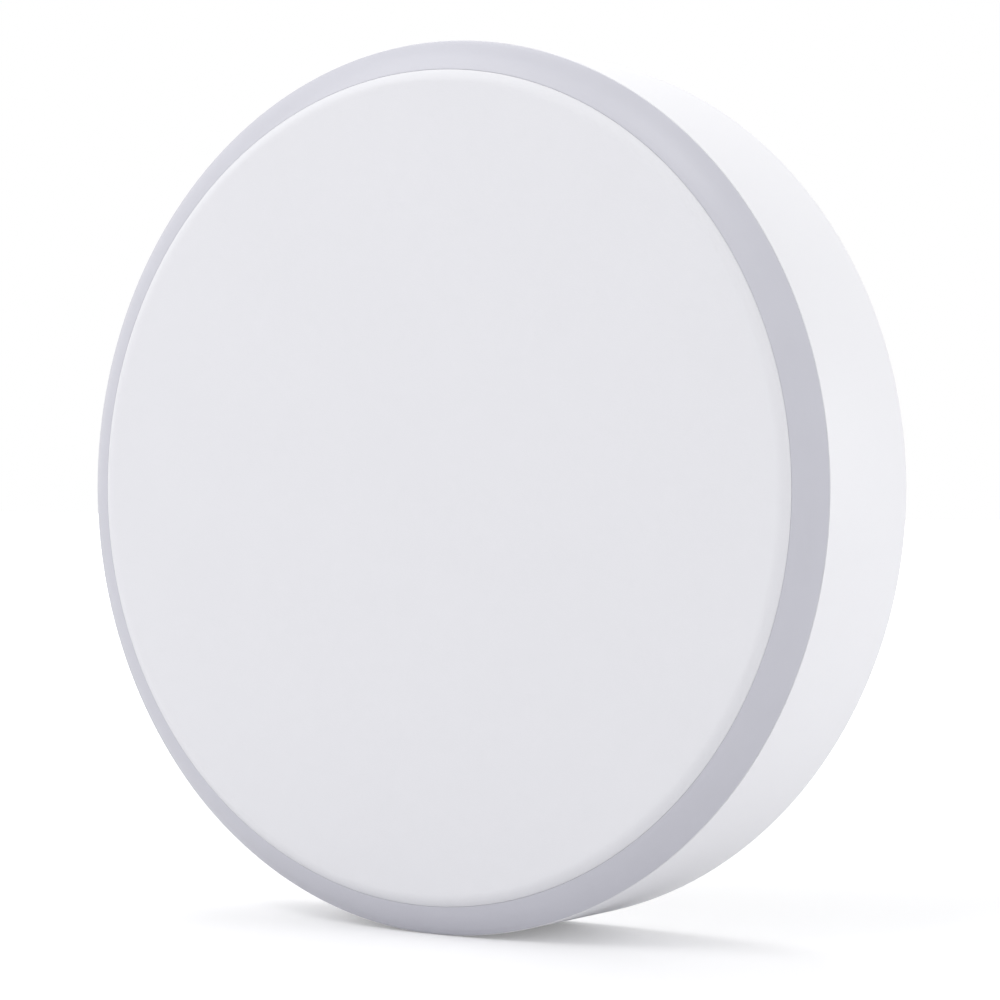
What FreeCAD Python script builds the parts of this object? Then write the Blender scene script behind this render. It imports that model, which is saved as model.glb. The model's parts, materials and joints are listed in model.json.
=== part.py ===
"""A round smart button that sticks to a wall.

Lengths are in millimetres and angles in degrees. The button is modelled lying on its back:
height is measured forward from the wall along +Z. The last step stands it up, so that the
front face looks towards -Y and the wall is the plane y = 0.
"""
import FreeCAD, Part
import math
import os

os.makedirs("parts", exist_ok=True)

full_turn = 360.0
half_turn = 180.0
quarter_turn = 90.0

# Sizes that set the outside of the button
rim_radius = 25.0
back_height = 0.6
ring_width = 1.64
ring_drop = 1.0
face_round_width = 0.72
face_round_depth = 0.32
face_round_steps = 5

# Clearances
seat_gap = 0.02
part_gap = 0.05
running_gap = 0.08
cap_gap = 0.08
hook_gap = 0.15
turn_gap = 0.2
solder_gap = 0.02

# What the button does
press_travel = 0.3
unlock_turn = 30.0
pairing_travel = 0.25

# Housing
wall = 1.5
rim_wall = 0.8
flange_thickness = 1.2
flange_width = 2.5
deck_thickness = 0.8
deck_width = 9.5
deck_lip_width = 0.8
deck_lip_depth = 0.6
back_edge_round = 0.3
back_edge_steps = 2
lug_count = 3
lug_start = 90.0
stop_rib_angle = 3.0
stop_rib_depth = 1.0
stop_rib_overlap = 0.8
stop_spare_angle = 0.8
notch_spare_angle = 1.2
gusset_count = 6
gusset_start = 60.0
gusset_depth = 0.8
gusset_width = 0.8
gusset_clearance = 0.6
boss_count = 3
boss_start = 90.0
boss_radius = 1.9
boss_inset = 6.0
pin_radius = 0.6
pin_depth_gap = 0.1
pin_angles = (30.0, 150.0)

# Trim ring
ring_edge = 0.04
ring_key_count = 4
ring_key_start = 0.0
ring_key_width = 2.0
ring_key_depth = 0.35

# Cap
cap_plate = 1.4
cap_room = 2.08
skirt_wall = 0.98
skirt_depth = 0.35
hook_count = 4
hook_start = 45.0
hook_width = 4.6
hook_leg = 1.0
hook_inset = 0.7
hook_reach = 0.55
hook_land = 0.25
hook_tip = 0.7
cap_rib_count = 8
cap_rib_start = 0.0
cap_rib_width = 0.8
cap_rib_depth = 0.9
cap_rib_clearance = 0.4
cap_boss_radius = 1.8
cap_boss_height = 1.05

# Stop ring
stop_ring_inset = 2.4
stop_ring_width = 1.8
stop_ring_crown = 0.1

# Back cover, its lugs, seal ring and adhesive pad
cover_gap = 0.2
cover_collar_wall = 1.4
cover_collar_depth = 0.85
lug_angle = 24.0
lug_reach = 1.2
cover_rib_count = 6
cover_rib_start = 0.0
cover_rib_gap = 0.6
cover_rib_depth = 0.6
cover_rib_width = 1.0
cover_edge_cut = 0.2
seal_radius = 0.3
seal_gap = 0.03
seal_sides = 6
pad_margin = 3.8
pad_recess = 0.15
pad_border = 0.3
peel_notch_radius = 3.0
peel_notch_outset = 1.0
peel_notch_angle = 270.0

# Circuit board and what fastens it
board_thickness = 1.0
board_margin = 2.9
board_notch_count = 2
board_notch_start = 0.0
board_notch_width = 3.0
board_notch_depth = 1.2
screw_radius = 0.7
screw_head_radius = 1.3
screw_head_height = 0.8
screw_cross_reach = 0.8
screw_cross_width = 0.35
screw_cross_depth = 0.4
screw_inset = 0.1

# Coin cell, a standard size 20 mm wide and 3.2 mm thick
cell_radius = 10.0
cell_thickness = 3.2
cell_lid_inset = 1.1
cell_lid_rise = 0.35
cell_lid_round = 0.2
cell_can_wall = 0.3
cell_can_round = 0.3
cell_gap = 0.1

# Cell holder and contacts
holder_gap = 0.25
holder_wall = 1.4
holder_setback = 0.2
holder_lead_in = 0.4
holder_floor = 1.2
holder_foot = 1.4
holder_foot_width = 2.4
holder_foot_height = 0.8
holder_foot_count = 2
holder_foot_start = 30.0
holder_window_width = 7.0
contact_angle = 180.0
thumb_angle = 0.0
strip_thickness = 0.2
strip_width = 5.0
strip_setback = 0.4
strip_foot = 2.6
strip_hook_height = 0.9
strip_hook_width = 3.0
strip_hook_thickness = 0.4
leaf_count = 3
leaf_start = 30.0
leaf_length = 6.0
leaf_width = 2.0
leaf_pad_radius = 1.4
leaf_hub_radius = 2.2
leaf_room = 0.2

# Press switch
switch_side = 6.0
switch_base_height = 1.0
switch_cover_sheet = 0.25
switch_cover_gap = 0.2
switch_pocket_gap = 0.3
switch_leg_thickness = 0.2
switch_leg_reach = 0.8
switch_leg_width = 0.7
switch_leg_spacing = 4.4
switch_tab_width = 2.0
switch_tab_height = 0.7
plunger_radius = 1.5
plunger_flange = 2.0
plunger_flange_thickness = 0.2
plunger_edge = 0.15
dome_radius = 2.2
dome_sheet = 0.08
dome_steps = 3
pocket_floor = 0.2

# Pairing switch
pairing_gap = 2.15
pairing_side = 3.6
pairing_angle = 270.0
pairing_pocket_gap = 0.15
pairing_room = 0.2
pairing_plunger_radius = 0.9
pairing_flange = 1.25
pairing_plunger_height = 1.0

# Radio module and small parts
radio_width = 10.0
radio_start = 4.6
radio_margin = 1.0
radio_deck_gap = 1.8
radio_pad_count = 5
radio_pad_inset = 0.84
radio_pad_pitch = 1.2
radio_pad_size = 0.5
radio_thickness = 0.6
shield_width = 8.6
shield_sheet = 0.15
shield_corner = 0.4
shield_height = 0.9
antenna_length = 3.2
antenna_width = 1.2
antenna_height = 0.6
shield_gap = 0.4
crystal_length = 3.2
crystal_width = 1.5
crystal_height = 0.7
crystal_corner = 0.3
crystal_angle = 200.0
chip_side = 3.0
chip_height = 0.8
chip_spacing = 0.5
chip_angle = -20.0
chip_mark_inset = 0.5
chip_mark_radius = 0.25
chip_mark_depth = 0.1
small_part_length = 1.6
small_part_width = 0.8
small_part_height = 0.7
end_cap_length = 0.35
end_cap_step = 0.04
small_part_inset = 2.7
small_part_pitch = 13.0
capacitor_count = 6
capacitor_start = 170.0
resistor_count = 4
resistor_start = 335.0

# Radii worked out from the sizes above
ring_bore = rim_radius - ring_width
cap_radius = ring_bore - cap_gap
wall_bore = rim_radius - wall
rebate_radius = rim_radius - rim_wall
flange_bore = wall_bore - flange_width
deck_bore = wall_bore - deck_width
boss_circle = wall_bore - boss_inset
board_radius = wall_bore - board_margin
hook_radius = cap_radius - skirt_wall - hook_inset
cap_rib_end = deck_bore - cap_rib_clearance
stop_ring_radius = deck_bore + stop_ring_inset
cover_radius = flange_bore - cover_gap
lug_radius = cover_radius + lug_reach
pad_radius = cover_radius - pad_margin
cell_lid_radius = cell_radius - cell_lid_inset
holder_bore = cell_radius + holder_gap
holder_radius = holder_bore + holder_wall
pairing_circle = holder_radius + pairing_gap + pairing_side / 2
small_part_circle = deck_bore - small_part_inset
chip_circle = small_part_circle - (small_part_length + chip_side) / 2 - chip_spacing
radio_length = deck_bore - radio_deck_gap - radio_start
shield_length = radio_length - antenna_width - radio_margin - shield_gap

# Heights worked out from the back to the front, as the pieces are stacked
flange_front = back_height + flange_thickness
cover_inside = flange_front
lug_back = flange_front + part_gap
collar_front = flange_front + cover_collar_depth
cell_back = cover_inside + cell_gap
cell_front = cell_back + cell_thickness
board_back = cell_front + leaf_room
board_front = board_back + board_thickness
switch_back = board_front + solder_gap
switch_top = switch_back + switch_base_height
flange_top = switch_top - part_gap
cap_under = switch_top + cap_room
plunger_top = cap_under - cap_boss_height - part_gap
face_height = cap_under + cap_plate
ring_front = face_height - face_round_depth
rim_height = ring_front - ring_drop
housing_rim = rim_height - part_gap
skirt_bottom = cap_under - skirt_depth
deck_front = skirt_bottom - press_travel - part_gap
deck_back = deck_front - deck_thickness
screw_end = deck_back - screw_inset
pairing_base_height = (pocket_floor + part_gap + plunger_flange_thickness + pairing_travel
                       + pairing_room)
pairing_top = board_back - solder_gap - pairing_base_height

# How far a cutting shape runs past what it cuts, and how far a fused one sinks in
over = 1.0
sink = 0.2


def profile(points):
    """A flat face from (radius, height) points in the XZ plane."""
    corners = [FreeCAD.Vector(radius, 0, height) for radius, height in points]
    return Part.Face(Part.makePolygon(corners + corners[:1]))


def revolved(points):
    """A solid turned all the way round from (radius, height) points."""
    return profile(points).revolve(FreeCAD.Vector(0, 0, 0), FreeCAD.Vector(0, 0, 1),
                                   full_turn)


def sector(points, start, sweep):
    """A solid turned through part of a circle from (radius, height) points."""
    solid = profile(points).revolve(FreeCAD.Vector(0, 0, 0), FreeCAD.Vector(0, 0, 1), sweep)
    return turned(solid, start)


def band(inner, outer, low, high):
    """The four corners of a plain ring section."""
    return [(inner, low), (outer, low), (outer, high), (inner, high)]


def disc(radius, low, high):
    return Part.makeCylinder(radius, high - low, FreeCAD.Vector(0, 0, low))


def block(near, far, width, low, high):
    """A box that runs along +X from near to far, centred on the X axis."""
    return Part.makeBox(far - near, width, high - low, FreeCAD.Vector(near, -width / 2, low))


def bar(points, width):
    """A (radius, height) outline given a width, centred on the X axis."""
    solid = profile(points).extrude(FreeCAD.Vector(0, width, 0))
    solid.translate(FreeCAD.Vector(0, -width / 2, 0))
    return solid


def turned(shape, angle):
    copy = shape.copy()
    copy.rotate(FreeCAD.Vector(0, 0, 0), FreeCAD.Vector(0, 0, 1), angle)
    return copy


def moved(shape, x, y, height):
    copy = shape.copy()
    copy.translate(FreeCAD.Vector(x, y, height))
    return copy


def around(shape, count, start):
    """Copies of a shape at equal angles."""
    return [turned(shape, start + full_turn * index / count) for index in range(count)]


def polar(radius, angle):
    return radius * math.cos(math.radians(angle)), radius * math.sin(math.radians(angle))


def arc_points(centre, radius, first, last, steps):
    """Points on an arc of the section plane, with angles measured from the radial direction."""
    angles = [math.radians(first + (last - first) * index / steps) for index in range(steps + 1)]
    return [(centre[0] + radius * math.cos(a), centre[1] + radius * math.sin(a)) for a in angles]


def ring_section(inner, outer, low, high):
    return revolved(band(inner, outer, low, high))


def hook_slot():
    """The deck opening that a hook is pushed through, with room for its leg to bend inward."""
    near = hook_radius - hook_leg - hook_reach - hook_gap
    far = hook_radius + hook_gap
    return block(near, far, hook_width + 2 * hook_gap, deck_back - over, deck_front + over)


def bayonet_notch():
    """The flange opening that lets one lug through after the housing is turned."""
    sweep = lug_angle + 2 * notch_spare_angle
    ring = band(flange_bore - over, lug_radius + turn_gap, back_height - over, flange_front + over)
    return sector(ring, -unlock_turn - sweep / 2, sweep)


def stop_rib(start):
    """A low rib on the flange that a lug meets at one end of the turn."""
    section = band(lug_radius - stop_rib_overlap, wall_bore + sink, flange_front - sink,
                   flange_front + stop_rib_depth)
    return sector(section, start, stop_rib_angle)


def board_boss():
    boss = disc(boss_radius, board_front + seat_gap, deck_back + sink)
    return moved(boss, boss_circle, 0, 0)


def screw_hole():
    hole = disc(screw_radius + seat_gap, board_front - over, screw_end + part_gap)
    return moved(hole, boss_circle, 0, 0)


def locating_pins(radius, low, high):
    pin = moved(disc(radius, low, high), boss_circle, 0, 0)
    return [turned(pin, angle) for angle in pin_angles]


def make_housing():
    """The side wall, the flange at its back and the deck across its front, moulded in one."""
    back_edge = arc_points((rim_radius - back_edge_round, back_height + back_edge_round),
                           back_edge_round, -quarter_turn, 0, back_edge_steps)
    section = [(flange_bore, back_height)] + back_edge + [
        (rim_radius, housing_rim),
        (rebate_radius, housing_rim),
        (rebate_radius, deck_front),
        (deck_bore, deck_front),
        (deck_bore, deck_back - deck_lip_depth),
        (deck_bore + deck_lip_width, deck_back - deck_lip_depth),
        (deck_bore + deck_lip_width, deck_back),
        (wall_bore, deck_back),
        (wall_bore, flange_front),
        (flange_bore, flange_front),
    ]
    gusset = block(wall_bore - gusset_depth, wall_bore + sink, gusset_width,
                   collar_front + gusset_clearance, deck_back + sink)
    rest_stop = stop_rib(lug_angle / 2 + stop_spare_angle)
    end_stop = stop_rib(-lug_angle / 2 - unlock_turn - stop_spare_angle - stop_rib_angle)
    added = around(gusset, gusset_count, gusset_start)
    added += around(rest_stop, lug_count, lug_start)
    added += around(end_stop, lug_count, lug_start)
    added += around(board_boss(), boss_count, boss_start)
    added += locating_pins(pin_radius, board_back + pin_depth_gap, deck_back + sink)
    solid = revolved(section).fuse(added)

    key_pocket = block(rebate_radius - sink, rebate_radius + ring_key_depth + seat_gap,
                       ring_key_width + 2 * seat_gap, deck_front, housing_rim + over)
    removed = around(hook_slot(), hook_count, hook_start)
    removed += around(bayonet_notch(), lug_count, lug_start)
    removed += around(screw_hole(), boss_count, boss_start)
    removed += around(key_pocket, ring_key_count, ring_key_start)
    return solid.cut(removed).removeSplitter()


def make_trim_ring():
    """The conical ring: a foot that stands on the deck and a lip that covers the wall's rim."""
    foot_radius = rebate_radius - seat_gap
    foot = deck_front + seat_gap
    lip = housing_rim + seat_gap
    section = [
        (ring_bore, foot),
        (foot_radius, foot),
        (foot_radius, lip),
        (rim_radius - ring_edge, lip),
        (rim_radius - ring_edge, rim_height + ring_edge * ring_drop / ring_width),
        (ring_bore, ring_front),
    ]
    key = block(foot_radius - sink, rebate_radius + ring_key_depth, ring_key_width,
                foot, lip + ring_edge)
    return revolved(section).fuse(around(key, ring_key_count, ring_key_start)).removeSplitter()


def cap_hook():
    """One leg with its hook, which catches behind the deck and keeps the cap on."""
    inner = hook_radius - hook_leg
    land = deck_back - part_gap
    outline = [
        (inner, cap_under + sink),
        (hook_radius, cap_under + sink),
        (hook_radius, land),
        (hook_radius + hook_reach, land),
        (hook_radius + hook_reach, land - hook_land),
        (hook_radius, land - hook_land - hook_tip),
        (inner, land - hook_land - hook_tip),
    ]
    return bar(outline, hook_width)


def make_press_cap():
    """The face, its rounded edge, a skirt, ribs, four hooks and the boss over the switch."""
    round_radius = (face_round_width ** 2 + face_round_depth ** 2) / (2 * face_round_depth)
    round_angle = math.degrees(math.asin(face_round_width / round_radius))
    round_centre = (cap_radius - face_round_width, face_height - round_radius)
    rounding = arc_points(round_centre, round_radius, quarter_turn, quarter_turn - round_angle,
                          face_round_steps)
    skirt_radius = cap_radius - skirt_wall
    section = [(0, face_height)] + rounding + [
        (cap_radius, skirt_bottom),
        (skirt_radius, skirt_bottom),
        (skirt_radius, cap_under),
        (0, cap_under),
    ]
    rib = block(cap_boss_radius - sink, cap_rib_end, cap_rib_width, cap_under - cap_rib_depth,
                cap_under + sink)
    added = [disc(cap_boss_radius, cap_under - cap_boss_height, cap_under + sink)]
    added += around(rib, cap_rib_count, cap_rib_start)
    added += around(cap_hook(), hook_count, hook_start)
    return revolved(section).fuse(added).removeSplitter()


def make_stop_ring():
    """A silicone ring bonded to the deck, with a crown that the cap lands on."""
    floor = deck_front + seat_gap
    top = cap_under - press_travel - part_gap
    inner = stop_ring_radius - stop_ring_width / 2
    outer = stop_ring_radius + stop_ring_width / 2
    section = [(inner, floor), (outer, floor), (outer, top - stop_ring_crown),
               (stop_ring_radius, top), (inner, top - stop_ring_crown)]
    return revolved(section)


def make_back_cover():
    """The wall plate: a recess for the pad, an edge groove for the seal, a collar with lugs."""
    groove_floor = flange_bore - seal_gap - 2 * seal_radius - part_gap
    groove_low = (back_height + flange_front) / 2 - seal_radius - part_gap
    groove_high = (back_height + flange_front) / 2 + seal_radius + part_gap
    collar_inner = cover_radius - cover_collar_wall
    recess = pad_radius + pad_border
    section = [
        (0, back_height + pad_recess),
        (recess, back_height + pad_recess),
        (recess, back_height),
        (cover_radius - cover_edge_cut, back_height),
        (cover_radius, back_height + cover_edge_cut),
        (cover_radius, groove_low),
        (groove_floor, groove_low),
        (groove_floor, groove_high),
        (cover_radius, groove_high),
        (cover_radius, collar_front),
        (collar_inner, collar_front),
        (collar_inner, cover_inside),
        (0, cover_inside),
    ]
    lug = sector(band(cover_radius - sink, lug_radius, lug_back, collar_front),
                 -lug_angle / 2, lug_angle)
    rib = block(holder_radius + cover_rib_gap, collar_inner + sink, cover_rib_width,
                cover_inside - sink, cover_inside + cover_rib_depth)
    added = around(lug, lug_count, lug_start)
    added += around(rib, cover_rib_count, cover_rib_start)
    return revolved(section).fuse(added).removeSplitter()


def make_seal_ring():
    centre = (flange_bore - seal_gap - seal_radius, (back_height + flange_front) / 2)
    return revolved(arc_points(centre, seal_radius, 0, full_turn, seal_sides)[:-1])


def make_adhesive_pad():
    """A foam disc that fills the cover's recess, with a notch to peel its liner by."""
    pad = disc(pad_radius, 0.0, back_height + pad_recess - seat_gap)
    notch = disc(peel_notch_radius, -over, back_height + over)
    notch = moved(notch, pad_radius + peel_notch_outset, 0, 0)
    return pad.cut(turned(notch, peel_notch_angle))


def make_circuit_board():
    board = disc(board_radius, board_back, board_front)
    hole = disc(screw_radius + part_gap, board_back - over, board_front + over)
    notch = block(board_radius - board_notch_depth, board_radius + over, board_notch_width,
                  board_back - over, board_front + over)
    removed = around(moved(hole, boss_circle, 0, 0), boss_count, boss_start)
    removed += locating_pins(pin_radius + part_gap, board_back - over, board_front + over)
    removed += around(notch, board_notch_count, board_notch_start)
    return board.cut(removed)


def make_board_screws():
    head_front = board_back - seat_gap
    head_back = head_front - screw_head_height
    outline = [
        (0, head_back),
        (screw_head_radius, head_back),
        (screw_head_radius, head_front),
        (screw_radius, head_front),
        (screw_radius, screw_end),
        (0, screw_end),
    ]
    slot = block(-screw_cross_reach, screw_cross_reach, screw_cross_width,
                 head_back - over, head_back + screw_cross_depth)
    screw = revolved(outline).cut([slot, turned(slot, quarter_turn)])
    return Part.makeCompound(around(moved(screw, boss_circle, 0, 0), boss_count, boss_start))


def make_cell_can():
    """The cell's can: the side and the face that looks back."""
    inner = cell_radius - cell_can_wall
    top = cell_front - cell_lid_rise
    section = [
        (0, cell_back),
        (cell_radius - cell_can_round, cell_back),
        (cell_radius, cell_back + cell_can_round),
        (cell_radius, top),
        (inner, top),
        (inner, cell_back + cell_can_wall),
        (0, cell_back + cell_can_wall),
    ]
    return revolved(section)


def make_cell_gasket():
    return ring_section(cell_lid_radius + seat_gap, cell_radius - cell_can_wall - seat_gap,
                        cell_back + cell_can_wall + seat_gap, cell_front - cell_lid_rise)


def make_cell_lid():
    """The cell's lid: the face that looks forward, raised above the can."""
    low = cell_back + cell_can_wall + seat_gap
    section = [
        (0, low),
        (cell_lid_radius, low),
        (cell_lid_radius, cell_front - cell_lid_round),
        (cell_lid_radius - cell_lid_round, cell_front),
        (0, cell_front),
    ]
    return revolved(section)


def make_battery_holder():
    """A ring round the cell, with a window for the contact and one for a thumb."""
    front = board_back - solder_gap
    back = cell_back + holder_setback
    section = [
        (holder_bore + holder_lead_in, back),
        (holder_radius, back),
        (holder_radius, front),
        (holder_bore, front),
        (holder_bore, back + holder_lead_in),
    ]
    contact_window = block(holder_bore - over, holder_radius + over, holder_window_width,
                           back - over, front + over)
    thumb_window = block(holder_bore - over, holder_radius + over, holder_window_width,
                         back - over, front - holder_floor)
    foot = block(holder_radius - sink, holder_radius + holder_foot, holder_foot_width,
                 front - holder_foot_height, front)
    ring = revolved(section).fuse(around(foot, holder_foot_count, holder_foot_start))
    windows = [turned(contact_window, contact_angle), turned(thumb_window, thumb_angle)]
    return ring.cut(windows).removeSplitter()


def make_positive_contact():
    """A bent strip that presses on the rim of the cell, with a foot on the board."""
    inner = cell_radius + part_gap
    outer = inner + strip_foot
    front = board_back - solder_gap
    blade = block(inner, inner + strip_thickness, strip_width, cell_back + strip_setback, front)
    foot = block(inner, outer, strip_width, front - strip_thickness, front)
    hook = block(outer - strip_hook_thickness, outer, strip_hook_width,
                 front - strip_hook_height, front)
    return turned(blade.fuse([foot, hook]).removeSplitter(), contact_angle)


def make_negative_contact():
    """A flat spring between the board and the cell, with three leaves cut from one sheet."""
    high = board_back - solder_gap
    low = cell_front + part_gap
    leaf = block(0, leaf_length, leaf_width, low, high)
    pad = moved(disc(leaf_pad_radius, low, high), leaf_length, 0, 0)
    hub = disc(leaf_hub_radius, low, high)
    added = around(leaf, leaf_count, leaf_start) + around(pad, leaf_count, leaf_start)
    return hub.fuse(added).removeSplitter()


def square(side, low, high):
    return Part.makeBox(side, side, high - low, FreeCAD.Vector(-side / 2, -side / 2, low))


def make_switch_base():
    body = square(switch_side, switch_back, switch_top)
    pocket = disc(plunger_flange + switch_pocket_gap, switch_back + pocket_floor, switch_top + over)
    leg = block(switch_side / 2 - sink, switch_side / 2 + switch_leg_reach, switch_leg_width,
                switch_back, switch_back + switch_leg_thickness)
    offsets = (-switch_leg_spacing / 2, switch_leg_spacing / 2)
    legs = [moved(turned(leg, side), 0, y, 0) for side in (0, half_turn) for y in offsets]
    return body.cut(pocket).fuse(legs).removeSplitter()


def make_switch_cover():
    low = switch_top + seat_gap
    high = low + switch_cover_sheet
    tab = block(switch_side / 2, switch_side / 2 + switch_cover_sheet, switch_tab_width,
                low - switch_tab_height, high)
    bore = disc(plunger_radius + switch_cover_gap, low - over, high + over)
    plate = square(switch_side, low, high)
    return plate.fuse([tab, turned(tab, half_turn)]).cut(bore).removeSplitter()


def make_switch_plunger():
    section = [
        (0, flange_top - plunger_flange_thickness),
        (plunger_flange, flange_top - plunger_flange_thickness),
        (plunger_flange, flange_top),
        (plunger_radius, flange_top),
        (plunger_radius, plunger_top - plunger_edge),
        (plunger_radius - plunger_edge, plunger_top),
        (0, plunger_top),
    ]
    return revolved(section)


def make_switch_dome():
    """The snap dome: its rim stands in the base's pocket and its crown carries the plunger."""
    floor = switch_back + pocket_floor + seat_gap
    top = flange_top - plunger_flange_thickness - seat_gap
    rise = top - floor - dome_sheet
    sphere = (dome_radius ** 2 + rise ** 2) / (2 * rise)
    angle = math.degrees(math.asin(dome_radius / sphere))
    centre = (0, top - sphere)
    outer = arc_points(centre, sphere, quarter_turn, quarter_turn - angle, dome_steps)
    inner = arc_points(centre, sphere - dome_sheet, quarter_turn - angle, quarter_turn,
                       dome_steps)
    return revolved(outer + inner)


def place_pairing(shape):
    x, y = polar(pairing_circle, pairing_angle)
    return moved(shape, x, y, 0)


def make_pairing_base():
    front = board_back - solder_gap
    pocket = disc(pairing_flange + pairing_pocket_gap, pairing_top - over,
                  front - pocket_floor)
    return place_pairing(square(pairing_side, pairing_top, front).cut(pocket))


def make_pairing_cover():
    front = pairing_top - seat_gap
    bore = disc(pairing_plunger_radius + running_gap, front - over, front + over)
    return place_pairing(square(pairing_side, front - switch_cover_sheet, front).cut(bore))


def make_pairing_plunger():
    flange_back = pairing_top + part_gap
    back = flange_back - pairing_plunger_height
    section = [
        (0, back),
        (pairing_plunger_radius, back),
        (pairing_plunger_radius, flange_back),
        (pairing_flange, flange_back),
        (pairing_flange, flange_back + plunger_flange_thickness),
        (0, flange_back + plunger_flange_thickness),
    ]
    return place_pairing(revolved(section))


def centred_box(length, width, low, high, x, y):
    corner = FreeCAD.Vector(x - length / 2, y - width / 2, low)
    return Part.makeBox(length, width, high - low, corner)


def upright_edges(box):
    """The edges of a box that run along the height."""
    return [edge for edge in box.Edges if edge.BoundBox.ZLength > edge.BoundBox.DiagonalLength / 2]


def make_radio_board():
    low = board_front + solder_gap
    middle = radio_start + radio_length / 2
    board = centred_box(radio_width, radio_length, low, low + radio_thickness, 0, middle)
    notches = []
    for index in range(radio_pad_count):
        y = radio_start + radio_pad_inset + radio_pad_pitch * index
        for x in (-radio_width / 2, radio_width / 2):
            notches.append(centred_box(radio_pad_size, radio_pad_size, low - over,
                                       low + radio_thickness + over, x, y))
    return board.cut(notches)


def make_shield_can():
    """A thin drawn lid over the module's parts, open towards the board."""
    low = board_front + solder_gap + radio_thickness + seat_gap
    middle = radio_start + radio_margin / 2 + shield_length / 2
    box = centred_box(shield_width, shield_length, low, low + shield_height, 0, middle)
    box = box.makeFillet(shield_corner, upright_edges(box))
    hollow = centred_box(shield_width - 2 * shield_sheet, shield_length - 2 * shield_sheet,
                         low - over, low + shield_height - shield_sheet, 0, middle)
    return box.cut(hollow)


def make_chip_antenna():
    low = board_front + solder_gap + radio_thickness + seat_gap
    middle = radio_start + radio_length - radio_margin / 2 - antenna_width / 2
    return centred_box(antenna_length, antenna_width, low, low + antenna_height, 0, middle)


def make_crystal():
    low = board_front + solder_gap
    x, y = polar(chip_circle, crystal_angle)
    can = centred_box(crystal_length, crystal_width, low, low + crystal_height, x, y)
    return can.makeFillet(crystal_corner, upright_edges(can))


def make_power_chip():
    low = board_front + solder_gap
    x, y = polar(chip_circle, chip_angle)
    chip = centred_box(chip_side, chip_side, low, low + chip_height, x, y)
    mark = disc(chip_mark_radius, low + chip_height - chip_mark_depth, low + over)
    corner = chip_side / 2 - chip_mark_inset
    return chip.cut(moved(mark, x - corner, y + corner, 0))


def small_part():
    """A ceramic block between two slightly larger end caps."""
    low = board_front + solder_gap
    half = small_part_length / 2
    body = block(-half, half, small_part_width - 2 * end_cap_step, low + end_cap_step,
                 low + small_part_height - end_cap_step)
    cap = block(half - end_cap_length, half, small_part_width, low, low + small_part_height)
    return body.fuse([cap, turned(cap, half_turn)]).removeSplitter()


def small_parts(count, start):
    """A row of identical small parts along an arc, each pointing at the centre."""
    part = moved(small_part(), small_part_circle, 0, 0)
    return Part.makeCompound([turned(part, start + small_part_pitch * index)
                              for index in range(count)])


def make_capacitors():
    return small_parts(capacitor_count, capacitor_start)


def make_resistors():
    return small_parts(resistor_count, resistor_start)


def stand_up(shape):
    """Turns the lying button so that its face looks towards -Y."""
    copy = shape.copy()
    copy.rotate(FreeCAD.Vector(0, 0, 0), FreeCAD.Vector(1, 0, 0), 90)
    return copy


makers = {
    "adhesive_pad": make_adhesive_pad,
    "back_cover": make_back_cover,
    "seal_ring": make_seal_ring,
    "housing": make_housing,
    "trim_ring": make_trim_ring,
    "press_cap": make_press_cap,
    "stop_ring": make_stop_ring,
    "circuit_board": make_circuit_board,
    "board_screws": make_board_screws,
    "radio_board": make_radio_board,
    "shield_can": make_shield_can,
    "chip_antenna": make_chip_antenna,
    "crystal": make_crystal,
    "power_chip": make_power_chip,
    "capacitors": make_capacitors,
    "resistors": make_resistors,
    "switch_base": make_switch_base,
    "switch_cover": make_switch_cover,
    "switch_dome": make_switch_dome,
    "switch_plunger": make_switch_plunger,
    "pairing_base": make_pairing_base,
    "pairing_cover": make_pairing_cover,
    "pairing_plunger": make_pairing_plunger,
    "cell_can": make_cell_can,
    "cell_gasket": make_cell_gasket,
    "cell_lid": make_cell_lid,
    "battery_holder": make_battery_holder,
    "positive_contact": make_positive_contact,
    "negative_contact": make_negative_contact,
}

for name, make in makers.items():
    shape = stand_up(make())
    shape.exportStep("parts/" + name + ".step")
    print(name, shape.isValid(), len(shape.Solids), round(shape.Volume, 2))
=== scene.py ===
# %% [markdown]
# # A round smart button
#
# This notebook dresses the CAD model of a white, round wall button. The CAD parts arrive as a
# fixed frame: every part already has its real size and place. The outer mouldings are modelled
# again here with finer edges, and every part gets a finish.
#
# The wall is the plane y = 0, the front face looks towards -Y, and +Z is up.

# %% Load the frame
import json
import math

import bpy
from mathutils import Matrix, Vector


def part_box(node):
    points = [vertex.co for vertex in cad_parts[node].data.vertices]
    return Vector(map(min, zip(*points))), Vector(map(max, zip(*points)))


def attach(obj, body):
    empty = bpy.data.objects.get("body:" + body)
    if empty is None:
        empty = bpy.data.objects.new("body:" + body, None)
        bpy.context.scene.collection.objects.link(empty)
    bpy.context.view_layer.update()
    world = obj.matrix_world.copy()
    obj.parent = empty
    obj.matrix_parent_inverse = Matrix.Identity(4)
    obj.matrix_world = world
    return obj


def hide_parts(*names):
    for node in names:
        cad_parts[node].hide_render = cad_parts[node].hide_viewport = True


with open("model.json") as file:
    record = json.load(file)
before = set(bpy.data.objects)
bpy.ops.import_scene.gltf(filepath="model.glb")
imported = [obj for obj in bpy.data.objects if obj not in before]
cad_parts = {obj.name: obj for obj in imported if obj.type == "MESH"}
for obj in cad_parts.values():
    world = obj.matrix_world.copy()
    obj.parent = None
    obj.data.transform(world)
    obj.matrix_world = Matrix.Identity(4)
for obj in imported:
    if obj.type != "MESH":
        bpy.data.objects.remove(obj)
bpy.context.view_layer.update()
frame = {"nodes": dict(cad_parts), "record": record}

MM = 0.001

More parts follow.
